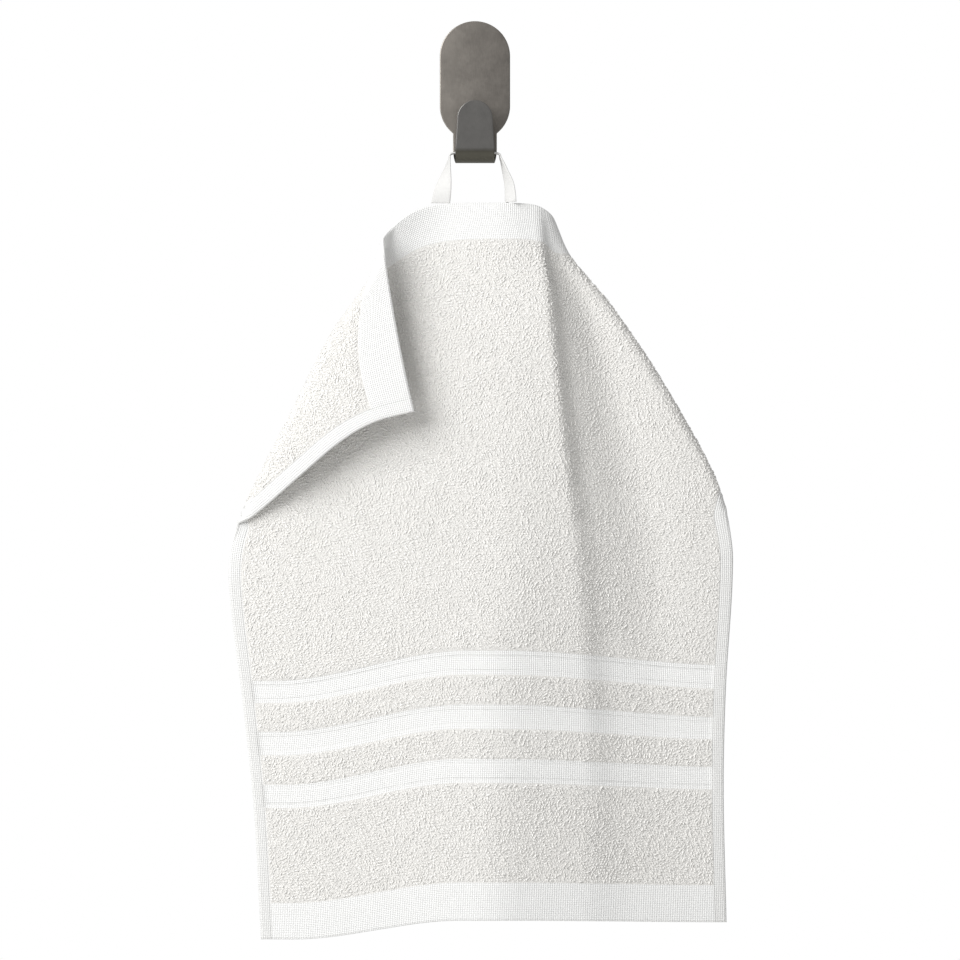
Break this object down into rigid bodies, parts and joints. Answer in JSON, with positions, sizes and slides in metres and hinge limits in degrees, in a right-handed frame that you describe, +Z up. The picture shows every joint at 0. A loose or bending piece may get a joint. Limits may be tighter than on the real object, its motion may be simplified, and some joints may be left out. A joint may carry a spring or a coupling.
{
  "type": "guest towel on wall hook",
  "caption": "White terry guest towel with flat woven bands and turned corners, hung by its tape loop on a bent sheet-steel wall hook.",
  "frame": {"origin": "middle of the back face of the hook's plate, on the wall plane", "axes": "+Z up, +X to the right as seen from the room, +Y into the wall"},
  "size_m": [0.3193, 0.0435, 0.5817],
  "materials": {
    "terry_cloth": "looped cotton pile with flat woven bands and hems",
    "woven_tape": "tight flat cotton tape",
    "hook_steel": "fine brushed, warm grey"
  },
  "bodies": {
    "root": {"towel": "terry_cloth", "hanging_tape": "woven_tape", "wall_hook": "hook_steel"}
  },
  "joints": []
}
